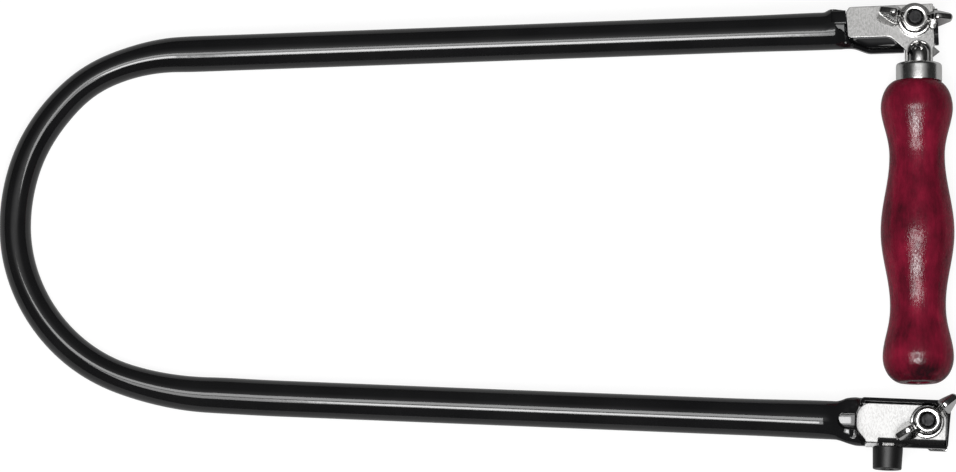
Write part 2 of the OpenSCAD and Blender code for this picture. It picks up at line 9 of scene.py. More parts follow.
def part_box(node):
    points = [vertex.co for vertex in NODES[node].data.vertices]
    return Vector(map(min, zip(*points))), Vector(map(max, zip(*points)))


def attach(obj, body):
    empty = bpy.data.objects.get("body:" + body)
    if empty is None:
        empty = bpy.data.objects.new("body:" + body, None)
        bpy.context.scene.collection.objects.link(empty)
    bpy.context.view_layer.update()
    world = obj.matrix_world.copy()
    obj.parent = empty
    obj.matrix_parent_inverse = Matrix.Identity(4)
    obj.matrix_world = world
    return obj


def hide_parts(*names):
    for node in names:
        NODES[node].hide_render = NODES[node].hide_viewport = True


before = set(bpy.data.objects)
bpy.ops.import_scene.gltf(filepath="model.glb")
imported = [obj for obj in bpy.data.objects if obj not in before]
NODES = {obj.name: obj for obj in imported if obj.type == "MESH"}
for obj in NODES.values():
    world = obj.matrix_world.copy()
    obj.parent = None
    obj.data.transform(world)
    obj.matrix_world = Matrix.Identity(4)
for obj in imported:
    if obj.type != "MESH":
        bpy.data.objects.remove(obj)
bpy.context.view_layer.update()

MM = 0.001

# Sizes, in millimetres

UPPER_TILT = math.radians(2.05)
LOWER_TILT = math.radians(-2.3)
BEND_TURN = math.radians(160)
BEND_R, SWEEP_R = 56.5, 94.0
UPPER_ARM_L = 253.8
TUBE_R, TUBE_WALL = 5.9, 1.2
BEND_IN_PLANE_R, BEND_UPRIGHT_R = 5.24, 6.15
UPPER_TAPER, LOWER_TAPER = (-6.6, 20.4), (-9.3, 33.7)
BOLT_SETBACK, UPPER_SHIFT, LOWER_SHIFT = 7.9, 3.4, 1.3
FLANGE_TOP, CHANNEL_BACK, CORNER_R = 0.1, -6.1, 1.6
LEG_W, BRACKET_T, NECK_W = 10.4, 1.5, 9.3
NECK_ASIDE, GRIP_ASIDE = 0.45, -0.35
FERRULE_R, PLATE_T = 7.7, 1.2
BOLT_R, BOLT_HEAD_R, BOLT_HEAD_H, SQUARE_NECK_L = 2.5, 5.2, 2.4, 1.5
STOP_SETBACK, STOP_SEAT, STOP_L, STOP_RECESS = 20.6, 7.8, 7.3, 5.3


def centre_mm(node):
    lo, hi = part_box(node)
    return (lo + hi) / 2 / MM


def turned(angle, x, y):
    return np.array([x * math.cos(angle) - y * math.sin(angle), x * math.sin(angle) + y * math.cos(angle)])


UPPER_BOLT = np.array(centre_mm("upper_washer"))[:2]
LOWER_BOLT = np.array(centre_mm("lower_washer"))[:2]
UPPER_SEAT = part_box("upper_washer")[1].z / MM
LOWER_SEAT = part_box("lower_washer")[1].z / MM
FLOOR_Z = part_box("handle_bracket")[0].z / MM
AXIS_Z = FLOOR_Z + 4.9
HANDLE_X, HANDLE_Z = centre_mm("handle_rod").x, centre_mm("handle_rod").z
FERRULE_LOW, FERRULE_TOP = (v.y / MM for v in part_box("handle_ferrule"))
GRIP_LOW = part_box("handle_grip")[0].y / MM
UPPER_TIP = UPPER_BOLT + turned(UPPER_TILT, BOLT_SETBACK, -UPPER_SHIFT)
LOWER_TIP = LOWER_BOLT - turned(LOWER_TILT, -BOLT_SETBACK, LOWER_SHIFT)
UPPER_OUT = np.array([-math.sin(UPPER_TILT), math.cos(UPPER_TILT)])
LOWER_OUT = np.array([math.sin(LOWER_TILT), -math.cos(LOWER_TILT)])


def upper_place(x, y):
    return UPPER_TIP + turned(UPPER_TILT, x, y)


def lower_place(x, y):
    return LOWER_TIP + turned(LOWER_TILT, x, -y)


def smooth(t):
    t = min(max(t, 0.0), 1.0)
    return t * t * (3 - 2 * t)


# Mesh helpers

def new_piece(name, verts, faces, outward=True):
    mesh = bpy.data.meshes.new(name)
    mesh.from_pydata([tuple(float(c) * MM for c in v) for v in verts], [], faces)
    mesh.validate()
    piece = bpy.data.objects.new(name, mesh)
    bpy.context.scene.collection.objects.link(piece)
    bm = bmesh.new()
    bm.from_mesh(mesh)
    bmesh.ops.remove_doubles(bm, verts=bm.verts, dist=1e-6)
    if outward:
        bmesh.ops.recalc_face_normals(bm, faces=bm.faces)
    bm.to_mesh(mesh)
    bm.free()
    return piece


def oriented(name, verts, faces, up):
    piece = new_piece(name, verts, faces, outward=False)
    total = sum((p.normal * p.area for p in piece.data.polygons), Vector())
    if total.z * up < 0:
        piece.data.flip_normals()
    return piece


def bake_modifiers(piece):
    bpy.context.view_layer.update()
    done = bpy.data.meshes.new_from_object(piece.evaluated_get(bpy.context.evaluated_depsgraph_get()))
    old = piece.data
    piece.modifiers.clear()
    piece.data = done
    done.name = piece.name
    bpy.data.meshes.remove(old)
    return piece


def join(name, pieces):
    bm = bmesh.new()
    for p in pieces:
        bm.from_mesh(p.data)
        bpy.data.objects.remove(p)
    mesh = bpy.data.meshes.new(name)
    bm.to_mesh(mesh)
    bm.free()
    piece = bpy.data.objects.new(name, mesh)
    bpy.context.scene.collection.objects.link(piece)
    return piece


def finish_edges(piece, width=0.25, segments=3, angle=32, sharp=40):
    """Rounds the edges where a width is given, and shades smoothly up to the sharp angle."""
    if width:
        bevel = piece.modifiers.new("edge", "BEVEL")
        bevel.width = width * MM
        bevel.segments = segments
        bevel.limit_method = "ANGLE"
        bevel.angle_limit = math.radians(angle)
        bevel.use_clamp_overlap = True
    for poly in piece.data.polygons:
        poly.use_smooth = True
    piece.data.set_sharp_from_angle(angle=math.radians(sharp + 40 if width else sharp))
    weigh = piece.modifiers.new("weigh", "WEIGHTED_NORMAL")
    weigh.keep_sharp = True
    return bake_modifiers(piece)


def plate(outline, low, high):
    n = len(outline)
    verts = [(x, y, low) for x, y in outline] + [(x, y, high) for x, y in outline]
    faces = [tuple(range(n - 1, -1, -1)), tuple(range(n, 2 * n))]
    faces += [(i, (i + 1) % n, n + (i + 1) % n, n + i) for i in range(n)]
    return verts, faces


def grid_faces(rows, cols, closed=False):
    faces = []
    for i in range(rows - 1):
        for j in range(cols if closed else cols - 1):
            k = (j + 1) % cols
            faces.append((i * cols + j, i * cols + k, (i + 1) * cols + k, (i + 1) * cols + j))
    return faces


def lathe(profile, place, steps=72, caps=True):
    """Turns [radius, height] points; place(radius cosine, radius sine, height) puts each one in the saw."""
    verts = []
    for r, h in profile:
        for j in range(steps):
            a = 2 * math.pi * j / steps
            verts.append(place(r * math.cos(a), r * math.sin(a), h))
    faces = grid_faces(len(profile), steps, closed=True)
    if caps:
        last = (len(profile) - 1) * steps
        if profile[0][0] > 1e-4:
            faces.append(tuple(range(steps - 1, -1, -1)))
        if profile[-1][0] > 1e-4:
            faces.append(tuple(range(last, last + steps)))
    return verts, faces


def turned_ring(profile, place, steps):
    """A lathe whose profile closes on itself round a bore."""
    verts, faces = lathe(profile, place, steps, caps=False)
    last = len(verts) - steps
    faces += [(j, (j + 1) % steps, last + (j + 1) % steps, last + j) for j in range(steps)]
    return verts, faces


def round_corner(before, corner, after, radius, steps):
    """The points that take a corner's place, or the corner alone where the radius is zero."""
    a, p, b = (np.array(v, float) for v in (before, corner, after))
    if not radius:
        return [tuple(p)]
    u, v = (a - p), (b - p)
    lu, lv = np.linalg.norm(u), np.linalg.norm(v)
    u, v = u / lu, v / lv
    cut = min(radius, lu * 0.49, lv * 0.49)
    out = []
    for s in range(steps + 1):
        t = s / steps
        out.append(tuple((1 - t) ** 2 * (p + u * cut) + 2 * t * (1 - t) * p + t * t * (p + v * cut)))
    return out


def rounded(points, radius_of, steps=5):
    """Rounds the inner corners of an open line that radius_of has a radius for."""
    out = [points[0]]
    for i in range(1, len(points) - 1):
        out += round_corner(points[i - 1], points[i], points[i + 1], radius_of.get(i, 0), steps)
    out.append(points[-1])
    return out


def rounded_loop(points, radii, steps=5):
    """Rounds the corners of a closed outline by one radius, or by a list with one for each."""
    n = len(points)
    if not isinstance(radii, (list, tuple)):
        radii = [radii] * n
    out = []
    for i in range(n):
        out += round_corner(points[i - 1], points[i], points[(i + 1) % n], radii[i], steps)
    return out


# Materials

def group(name, inputs, outputs):
    tree = bpy.data.node_groups.new(name, "ShaderNodeTree")
    for label, kind, value in inputs:
        socket = tree.interface.new_socket(label, in_out="INPUT", socket_type=kind)
        if value is not None:
            socket.default_value = value
    for label, kind in outputs:
        tree.interface.new_socket(label, in_out="OUTPUT", socket_type=kind)
    return tree, tree.nodes.new("NodeGroupInput"), tree.nodes.new("NodeGroupOutput")


def noise(tree, vector, scale, detail=3.0, rough=0.55):
    n = tree.nodes.new("ShaderNodeTexNoise")
    n.inputs["Detail"].default_value = detail
    n.inputs["Roughness"].default_value = rough
    if isinstance(scale, (int, float)):
        n.inputs["Scale"].default_value = scale
    else:
        tree.links.new(scale, n.inputs["Scale"])
    tree.links.new(vector, n.inputs["Vector"])
    return n


def ramp(tree, factor, stops):
    r = tree.nodes.new("ShaderNodeValToRGB")
    while len(r.color_ramp.elements) < len(stops):
        r.color_ramp.elements.new(0.5)
    for e, (pos, value) in zip(r.color_ramp.elements, stops):
        e.position = pos
        e.color = (value, value, value, 1) if isinstance(value, (int, float)) else (*value, 1)
    tree.links.new(factor, r.inputs["Fac"])
    return r


def math_node(tree, operation, *values):
    """A maths node; each value is a number or another node's output."""
    m = tree.nodes.new("ShaderNodeMath")
    m.operation = operation
    for socket, value in zip(m.inputs, values):
        if isinstance(value, (int, float)):
            socket.default_value = value
        else:
            tree.links.new(value, socket)
    return m.outputs[0]


def build_surface_wear():
    """Fine handling marks and an uneven film, for every metal: a roughness and a height."""
    tree, gin, gout = group(
        "handling_marks",
        [("Vector", "NodeSocketVector", None), ("Mark Scale", "NodeSocketFloat", 900.0),
         ("Roughness Low", "NodeSocketFloat", 0.15), ("Roughness High", "NodeSocketFloat", 0.35)],
        [("Roughness", "NodeSocketFloat"), ("Height", "NodeSocketFloat"), ("Mask", "NodeSocketFloat")])
    brushed = tree.nodes.new("ShaderNodeMapping")
    brushed.inputs["Scale"].default_value = (1.0, 0.45, 1.0)
    tree.links.new(gin.outputs["Vector"], brushed.inputs["Vector"])
    fine = noise(tree, brushed.outputs["Vector"], gin.outputs["Mark Scale"], 4.0, 0.6)
    broad = noise(tree, gin.outputs["Vector"], 90.0, 2.0, 0.5)
    speckle = ramp(tree, fine.outputs["Fac"], [(0.38, 0.0), (0.62, 1.0)])
    film = math_node(tree, "MULTIPLY", broad.outputs["Fac"], 0.35)
    mixed = math_node(tree, "MULTIPLY_ADD", speckle.outputs["Color"], 0.65, film)
    spread = tree.nodes.new("ShaderNodeMapRange")
    tree.links.new(mixed, spread.inputs["Value"])
    tree.links.new(gin.outputs["Roughness Low"], spread.inputs["To Min"])
    tree.links.new(gin.outputs["Roughness High"], spread.inputs["To Max"])
    tree.links.new(spread.outputs["Result"], gout.inputs["Roughness"])
    tree.links.new(mixed, gout.inputs["Height"])
    tree.links.new(broad.outputs["Fac"], gout.inputs["Mask"])
    return tree


HANDLING_MARKS = build_surface_wear()


def material(name):
    m = bpy.data.materials.new(name)
    m.use_nodes = True
    tree = m.node_tree
    tree.nodes.clear()
    out = tree.nodes.new("ShaderNodeOutputMaterial")
    shader = tree.nodes.new("ShaderNodeBsdfPrincipled")
    tree.links.new(shader.outputs["BSDF"], out.inputs["Surface"])
    coords = tree.nodes.new("ShaderNodeTexCoord")
    return m, tree, shader, coords.outputs["Object"]


def add_bump(tree, shader, height, strength, distance):
    bump = tree.nodes.new("ShaderNodeBump")
    bump.inputs["Strength"].default_value = strength
    bump.inputs["Distance"].default_value = distance
    tree.links.new(height, bump.inputs["Height"])
    tree.links.new(bump.outputs["Normal"], shader.inputs["Normal"])


def metal(name, colour, dark_colour, low, high, marks, strength):
    m, tree, shader, place = material(name)
    shader.inputs["Metallic"].default_value = 1.0
    wear = tree.nodes.new("ShaderNodeGroup")
    wear.node_tree = HANDLING_MARKS
    wear.inputs["Mark Scale"].default_value = marks
    wear.inputs["Roughness Low"].default_value = low
    wear.inputs["Roughness High"].default_value = high
    tree.links.new(place, wear.inputs["Vector"])
    film = math_node(tree, "MULTIPLY", wear.outputs["Mask"], 0.25)
    film = math_node(tree, "MULTIPLY_ADD", wear.outputs["Height"], 0.75, film)
    tint = ramp(tree, film, [(0.25, dark_colour), (0.62, colour)])
    tree.links.new(tint.outputs["Color"], shader.inputs["Base Color"])
    tree.links.new(wear.outputs["Roughness"], shader.inputs["Roughness"])
    add_bump(tree, shader, wear.outputs["Height"], strength, 0.00002)
    return m


def enamel():
    m, tree, shader, place = material("black_enamel")
    shader.inputs["IOR"].default_value = 1.5
    tone = noise(tree, place, 45.0, 3.0, 0.5)
    tint = ramp(tree, tone.outputs["Fac"], [(0.3, (0.0065, 0.0065, 0.007)), (0.7, (0.0105, 0.0105, 0.011))])
    tree.links.new(tint.outputs["Color"], shader.inputs["Base Color"])
    flow = noise(tree, place, 260.0, 2.0, 0.5)
    gloss = tree.nodes.new("ShaderNodeMapRange")
    gloss.inputs["To Min"].default_value = 0.05
    gloss.inputs["To Max"].default_value = 0.10
    tree.links.new(flow.outputs["Fac"], gloss.inputs["Value"])
    tree.links.new(gloss.outputs["Result"], shader.inputs["Roughness"])
    add_bump(tree, shader, flow.outputs["Fac"], 0.06, 0.0002)
    return m


def rubber():
    m, tree, shader, place = material("stop_rubber")
    grain = noise(tree, place, 2600.0, 3.0, 0.6)
    tint = ramp(tree, grain.outputs["Fac"], [(0.3, (0.003, 0.003, 0.003)), (0.7, (0.008, 0.008, 0.008))])
    tree.links.new(tint.outputs["Color"], shader.inputs["Base Color"])
    shader.inputs["Roughness"].default_value = 0.42
    shader.inputs["IOR"].default_value = 1.5
    add_bump(tree, shader, grain.outputs["Fac"], 0.25, 0.00006)
    return m


def stained_wood():
    """Red stain under thin lacquer: it gathers in patches and along the fibres, and the colour runs darker
    over the last few millimetres of the lower end.
    """
    m, tree, shader, place = material("stained_wood")

    def stretched(share):
        mapping = tree.nodes.new("ShaderNodeMapping")
        mapping.inputs["Scale"].default_value = (1.0, share, 1.0)
        tree.links.new(place, mapping.inputs["Vector"])
        return mapping.outputs["Vector"]

    patches = noise(tree, stretched(0.6), 115.0, 5.0, 0.62)
    fibres = noise(tree, stretched(0.06), 900.0, 4.0, 0.6)
    flecks = noise(tree, stretched(0.4), 1900.0, 2.0, 0.6)
    depth = math_node(tree, "MULTIPLY", patches.outputs["Fac"], 0.78)
    depth = math_node(tree, "MULTIPLY_ADD", fibres.outputs["Fac"], 0.22, depth)
    split = tree.nodes.new("ShaderNodeSeparateXYZ")
    tree.links.new(place, split.inputs[0])
    # The colour is darker over the grip's last nine millimetres, towards its lower end
    end = tree.nodes.new("ShaderNodeMapRange")
    end.interpolation_type = "SMOOTHSTEP"
    end.inputs["From Min"].default_value = (GRIP_LOW + 1.0) * MM
    end.inputs["From Max"].default_value = (GRIP_LOW + 9.0) * MM
    end.inputs["To Min"].default_value = -0.13
    end.inputs["To Max"].default_value = 0.0
    tree.links.new(split.outputs["Y"], end.inputs["Value"])
    depth = math_node(tree, "ADD", depth, end.outputs["Result"])
    tint = ramp(tree, depth, [(0.27, (0.024, 0.006, 0.009)), (0.41, (0.108, 0.0068, 0.0175)),
                              (0.52, (0.168, 0.0082, 0.0245)), (0.64, (0.245, 0.0115, 0.034))])
    tree.links.new(tint.outputs["Color"], shader.inputs["Base Color"])
    shader.inputs["IOR"].default_value = 1.5
    # A worn lacquer scatters its grazing sheen and sinks into the pores, so the shine fades and is broken
    facing = tree.nodes.new("ShaderNodeLayerWeight")
    facing.inputs["Blend"].default_value = 0.5
    sheen = ramp(tree, facing.outputs["Facing"],
                 [(0.0, 0.56), (0.02, 0.5), (0.08, 0.22), (0.35, 0.18), (0.7, 0.08), (1.0, 0.03)])
    pores = ramp(tree, flecks.outputs["Fac"], [(0.43, 0.4), (0.55, 1.0)])
    shine = math_node(tree, "MULTIPLY", sheen.outputs["Color"], pores.outputs["Color"])
    tree.links.new(shine, shader.inputs["Specular IOR Level"])
    gloss = tree.nodes.new("ShaderNodeMapRange")
    gloss.inputs["To Min"].default_value = 0.08
    gloss.inputs["To Max"].default_value = 0.18
    tree.links.new(patches.outputs["Fac"], gloss.inputs["Value"])
    tree.links.new(gloss.outputs["Result"], shader.inputs["Roughness"])
    surface = math_node(tree, "MULTIPLY_ADD", flecks.outputs["Fac"], 0.95, fibres.outputs["Fac"])
    add_bump(tree, shader, surface, 0.6, 0.00013)
    return m


MATERIALS = {
    "black_paint": enamel(),
    "nickel_plate": metal("nickel_plate", (0.70, 0.695, 0.685), (0.56, 0.557, 0.55), 0.10, 0.19, 2400.0, 0.1),
    "dull_plate": metal("dull_plate", (0.90, 0.898, 0.892), (0.63, 0.628, 0.622), 0.62, 0.78, 2400.0, 0.6),
    "polished_steel": metal("polished_steel", (0.76, 0.76, 0.75),
                            (0.70, 0.70, 0.69), 0.16, 0.26, 700.0, 0.08),
    "dark_steel": metal("dark_steel", (0.034, 0.034, 0.035), (0.008, 0.008, 0.008), 0.30, 0.5, 1200.0, 0.7),
    "stained_wood": stained_wood(),
    "black_rubber": rubber(),
}


def dress(piece, slot, body, node, finish=None):
    """Gives a skin its finish, its body and the node that it stands for; slot is the record's name."""
    piece.data.materials.clear()
    piece.data.materials.append(MATERIALS[finish or slot])
    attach(piece, body)
    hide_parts(node)


# The frame

SECTION = 72
LIP_SHARE = 0.027
END_ROW, TIP_LEAN = 2.05, 0.075
PRESSED_L = 180


def column_share(j):
    """Share around the section of a column, with one wide column beside each lip for its rounding."""
    if j == 0 or j == SECTION:
        return j / SECTION
    return LIP_SHARE + (1 - 2 * LIP_SHARE) * (j - 1) / (SECTION - 2)


def oval_section(outer, inner, top, bottom, slit=0.0, slit_centre=0.0):
    """A tube section, open between the slit's two sides, from its outer lip round to its inner lip."""
    def lip_angle(y):
        side = outer if y > 0 else inner
        return math.asin(max(-0.98, min(0.98, y / side)))

    first, last = lip_angle(slit_centre + slit), 2 * math.pi + lip_angle(slit_centre - slit)
    out = []
    for j in range(SECTION + 1):
        a = first + (last - first) * column_share(j)
        y, z = math.sin(a), math.cos(a)
        out.append((y * (outer if y > 0 else inner), z * (top if z > 0 else bottom)))
    return np.array(out)


def channel_section(outer, inner, outer_r, inner_r):
    """From the top of the outer flange, down, across the back and up the inner flange."""
    pts = []
    for j in range(SECTION + 1):
        u = column_share(j)
        side, r, half = (outer, outer_r, u) if u <= 0.5 else (inner, inner_r, 1 - u)
        sign = 1 if u <= 0.5 else -1
        if half <= 0.25:
            y, z = side, FLANGE_TOP + (CHANNEL_BACK + r - FLANGE_TOP) * half / 0.25
        elif half <= 0.38:
            a = math.pi / 2 * (half - 0.25) / 0.13
            y, z = side - r * (1 - math.cos(a)), CHANNEL_BACK + r * (1 - math.sin(a))
        else:
            middle = (outer - outer_r - inner + inner_r) / 2 * sign
            y, z = (side - r) + (middle - side + r) * (half - 0.38) / 0.12, CHANNEL_BACK
        pts.append((sign * y, z))
    return np.array(pts)


def arm_section(s, upper):
    """Section of an arm at a distance from its tip: a closed tube, a slit mouth, then a pressed channel."""
    if upper:
        outer = TUBE_R + 1.0 * smooth((38.4 - s) / 2.6) + 1.1 * smooth((31.4 - s) / 3.0)
        inner = TUBE_R + (7.9 - TUBE_R) * smooth((29.6 - s) / 7.0)
        top = TUBE_R - 2.4 * smooth((34.9 - s) / 4.0)
        slit = 2.9 * math.sqrt(min(max((34.9 - s) / 1.9, 0), 1))
        slit_centre = 2.2 * smooth((39.0 - s) / 3.6)
        body, lips = smooth((33.0 - s) / 4.4), smooth((32.2 - s) / 3.6)
        corners = (CORNER_R, 4.2)
    else:
        outer = TUBE_R + (7.8 - TUBE_R) * smooth((38.6 - s) / 8.0)
        inner = TUBE_R + (8.4 - TUBE_R) * smooth((38.6 - s) / 7.6)
        top = TUBE_R - 2.9 * smooth((42.4 - s) / 7.6)
        slit = 2.85 * math.sqrt(max(0.0, 1 - (max(s - 34.45, 0) / 3.5) ** 2))
        slit_centre = 0.0
        body, lips = smooth((35.6 - s) / 5.4), smooth((32.0 - s) / 2.8)
        corners = (4.2, CORNER_R)
    flare = 0.1 + 0.2 * smooth((64 - s) / 24) * (1 - body)
    wide = (1 - body) * smooth((175 - s) / 110)
    if upper:
        tube = oval_section(outer + flare + 0.2 * wide, inner + flare, top, TUBE_R, slit, slit_centre)
    else:
        grown = 0.17 * wide + 0.25 * smooth((78 - s) / 35) * (1 - body)
        tube = oval_section(outer + flare, inner + flare + grown, top, TUBE_R, slit, slit_centre)
    channel = channel_section(outer, inner, *corners)
    out = []
    for j in range(SECTION + 1):
        u = column_share(j)
        near_lip = smooth((0.27 - min(u, 1 - u)) / 0.2)
        m = body * (1 - near_lip) + lips * near_lip
        out.append(tube[j] * (1 - m) + channel[j] * m)
    return np.array(out)


def bend_share(run, taper):
    """How far the tube has taken its drawn-in oval, by distance into the bend from an arm's end."""
    return smooth((run - taper[0]) / (taper[1] - taper[0]))


def swell(angle, centre, spread):
    """A soft bump of height 1 at an angle of the bend, in degrees."""
    return math.exp(-((math.degrees(angle) - centre) / spread) ** 2)


def bend_offset(angle):
    """The bend is bulged where the bender took hold, and a little flat elsewhere."""
    return 0.65 * swell(angle, 124, 13) - 0.30 * swell(angle, 171, 15) - 0.36 * swell(angle, 257, 17)


def tube_section(oval):
    in_plane = TUBE_R + 0.1 + (BEND_IN_PLANE_R - TUBE_R - 0.1) * oval
    upright = TUBE_R + (BEND_UPRIGHT_R - TUBE_R) * oval
    return oval_section(in_plane, in_plane, upright, upright)


def frame_rows():
    """Rows of the frame's outer skin from the upper tip round to the lower tip."""
    rows, marks = [], []

    def add(point, out, section, mark):
        lean = TIP_LEAN * (1 - mark[1] / END_ROW) if mark[0] == "lower" and mark[1] <= END_ROW else 0.0
        rows.append([(point[0] + out[0] * y - lean * (y + 8), point[1] + out[1] * y, AXIS_Z + z)
                     for y, z in section])
        marks.append(mark)

    stops = sorted(set([0.0, END_ROW, 11.95, 18.5, 22.8, 23.7, 28.3, 31.4]
                       + [round(21 + 0.5 * i, 2) for i in range(36)]
                       + [6.0, 9.0, 15.0, 18.0] + [40 + 2 * i for i in range(5)]))
    near = 24.0
    along = [float(s) for s in np.linspace(56, UPPER_ARM_L - near, 22)]
    taper = [float(s) for s in np.linspace(UPPER_ARM_L - near, UPPER_ARM_L, 10)][1:]
    back = np.array([-math.cos(UPPER_TILT), -math.sin(UPPER_TILT)])
    for s in stops + along + taper:
        plain = tube_section(bend_share(s - UPPER_ARM_L, UPPER_TAPER))
        section = arm_section(s, True) if s < PRESSED_L else plain
        add(UPPER_TIP + back * s, UPPER_OUT, section, ("upper", s))
    upper_start = UPPER_TIP + back * UPPER_ARM_L
    centre = upper_start - UPPER_OUT * BEND_R
    first = math.pi / 2 + UPPER_TILT
    last = first + BEND_TURN
    sweep_end = 1.5 * math.pi + LOWER_TILT
    sweep_l = SWEEP_R * (sweep_end - last)
    for i in range(1, 81):
        a = first + BEND_TURN * i / 80
        out = np.array([math.cos(a), math.sin(a)])
        oval = min(bend_share(BEND_R * (a - first), UPPER_TAPER),
                   bend_share(sweep_l + BEND_R * (last - a), LOWER_TAPER))
        drawn = 1 + 0.22 * swell(a, 125, 12)
        add(centre + out * (BEND_R + bend_offset(a)), out, tube_section(oval * drawn), ("bend", i))
    sweep_centre = centre + (BEND_R - SWEEP_R) * np.array([math.cos(last), math.sin(last)])
    for i in range(1, 17):
        a = last + (sweep_end - last) * i / 16
        out = np.array([math.cos(a), math.sin(a)])
        oval = bend_share(SWEEP_R * (sweep_end - a), LOWER_TAPER)
        add(sweep_centre + out * (SWEEP_R + bend_offset(a)), out, tube_section(oval), ("sweep", i))
    lower_start = sweep_centre + SWEEP_R * np.array([math.cos(sweep_end), math.sin(sweep_end)])
    lower_l = float(np.linalg.norm(LOWER_TIP - lower_start))
    back = (lower_start - LOWER_TIP) / lower_l
    along = [float(s) for s in np.linspace(56, lower_l - near, 22)]
    taper = [float(s) for s in np.linspace(lower_l - near, lower_l, 10)][1:-1]
    for s in reversed(stops + along + taper):
        plain = tube_section(bend_share(s - lower_l, LOWER_TAPER))
        section = arm_section(s, False) if s < PRESSED_L else plain
        fade = bend_offset(sweep_end) * smooth(1 - (lower_l - s) / near)
        add(LOWER_TIP + back * s + LOWER_OUT * fade, LOWER_OUT, section, ("lower", s))
    return rows, marks


# What the pressing cuts out of each arm: from and to along it, then from and to round its section
CUTS = {
    "upper": ((0, END_ROW, 0.64, 1), (END_ROW, 11.95, 0.585, 1), (0, 31.4, 0, 0.33), (31.4, 36.0, 0, 0.17)),
    "lower": ((18.5, 22.8, 0, 0.055), (23.7, 28.3, 0, 0.25)),
}


def cut_away(a, b, u):
    """True for a face of the skin that the pressing cuts away, between two rows and around share u."""
    if a[0] != b[0] or a[0] not in CUTS:
        return False
    s = (a[1] + b[1]) / 2
    return any(start < s < end and low < u < high for start, end, low, high in CUTS[a[0]])


def round_rims(skin):
    """Every cut edge is broken, and the flanges' long rims slope a little, as sheared edges do."""
    bm = bmesh.new()
    bm.from_mesh(skin.data)
    bm.normal_update()
    rims = [f for f in bm.faces if f.normal.z > 0.9 and f.calc_center_median().z / MM > AXIS_Z - 0.6
            and f.calc_center_median().x / MM > UPPER_TIP[0] - 30
            and min(e.calc_length() for e in f.edges) < 1.35 * MM]
    for face in rims:
        middle = face.calc_center_median()
        for vert in face.verts:
            if vert.co.y > middle.y and vert.co.z > middle.z - 0.1 * MM:
                vert.co.z -= 0.36 * MM * min(1.0, (vert.co.y - middle.y) / (0.4 * MM))
    weight = bm.edges.layers.float.new("bevel_weight_edge")
    for edge in bm.edges:
        if len(edge.link_faces) != 2 or edge.calc_face_angle(0) < math.radians(40):
            continue
        middle = (edge.verts[0].co + edge.verts[1].co) / 2 / MM
        along = abs((edge.verts[1].co - edge.verts[0].co).normalized().x) > 0.85
        tip = UPPER_TIP if middle.y > 0 else LOWER_TIP
        edge[weight] = 0.5 if along and tip[0] - middle.x < 28 and middle.z > AXIS_Z - 1.5 else 0.38
    bm.to_mesh(skin.data)
    bm.free()
    bevel = skin.modifiers.new("rims", "BEVEL")
    bevel.width = 0.5 * MM
    bevel.segments = 4
    bevel.limit_method = "WEIGHT"
    bevel.use_clamp_overlap = True
    return bake_modifiers(skin)


def tongue(place, reach, width, height):
    """The pressed wall that shows through an arm's mouth; height(s, y) is its face over the tube's axis."""
    steps = 14
    verts = []
    for s in np.linspace(*reach, steps + 1):
        for y in np.linspace(*width, steps + 1):
            p = place(-s, y)
            verts.append((p[0], p[1], AXIS_Z + height(s, y)))
    sheet = oriented("tongue", verts, grid_faces(steps + 1, steps + 1), 1)
    wall = sheet.modifiers.new("wall", "SOLIDIFY")
    wall.thickness = 0.8 * MM
    wall.offset = -1
    return bake_modifiers(sheet)


def frame_skin():
    """The painted tube's wall, with both ends pressed open and cut."""
    rows, marks = frame_rows()
    cols = SECTION + 1
    verts = [v for row in rows for v in row]
    faces = []
    for i in range(len(rows) - 1):
        for j in range(SECTION):
            if not cut_away(marks[i], marks[i + 1], (column_share(j) + column_share(j + 1)) / 2):
                faces.append((i * cols + j, (i + 1) * cols + j, (i + 1) * cols + j + 1, i * cols + j + 1))
    skin = new_piece("frame_skin", verts, faces, outward=False)
    # A point on the outer side of the bend tells which way the faces point
    outer_point = Vector(rows[marks.index(("bend", 40))][SECTION // 4]) * MM
    nearest = min(skin.data.polygons, key=lambda p: (p.center - outer_point).length)
    if nearest.normal.dot(Vector((-1, 0, 0))) < 0:
        skin.data.flip_normals()
    drop_loose_points(skin)
    wall = skin.modifiers.new("wall", "SOLIDIFY")
    wall.thickness = TUBE_WALL * MM
    wall.offset = -1
    wall.use_rim = True
    return round_rims(bake_modifiers(skin))


def drop_loose_points(piece):
    bm = bmesh.new()
    bm.from_mesh(piece.data)
    bmesh.ops.delete(bm, geom=[v for v in bm.verts if not v.link_faces], context="VERTS")
    bm.to_mesh(piece.data)
    bm.free()


def end_wall(place, low, high, top, lean):
    """A piece of a channel's end wall, from low to high across the arm."""
    back, front = -1.35, -0.05
    outline = [place(back, low), place(front - lean * (low + 8), low),
               place(front - lean * (high + 8), high), place(back, high)]
    verts, faces = plate(outline, FLOOR_Z - 0.6, top)
    verts = [(x, y, z - 0.36 if i in (5, 6) else z) for i, (x, y, z) in enumerate(verts)]
    return finish_edges(new_piece("end_wall", verts, faces), 0.2, 3)


def mouth_lug():
    """The corner of the outer flange, folded in over the upper mouth."""
    outer = rounded([(6.9, FLOOR_Z + 1.0), (6.9, AXIS_Z + 1.7), (2.75, AXIS_Z + 2.63), (2.15, AXIS_Z + 2.49)],
                    {1: 1.5}, 6)
    inner = rounded([(5.7, FLOOR_Z + 1.0), (5.7, AXIS_Z + 0.7), (2.15, AXIS_Z + 1.55)], {1: 0.6}, 6)
    loop = outer + inner[::-1]
    n = len(loop)
    verts = []
    for s in (35.9, 30.95):
        for y, z in loop:
            p = upper_place(-s, y)
            verts.append((p[0], p[1], z))
    faces = [tuple(range(n)), tuple(range(2 * n - 1, n - 1, -1))]
    faces += [(i, (i + 1) % n, n + (i + 1) % n, n + i) for i in range(n)]
    return finish_edges(new_piece("lug", verts, faces), 0.1, 2, sharp=0)


def upper_tongue_height(s, y):
    return -0.6 + 0.27 * (y - 0.5) + 0.06 * (s - 33) - (y - 0.5) ** 2 / 50


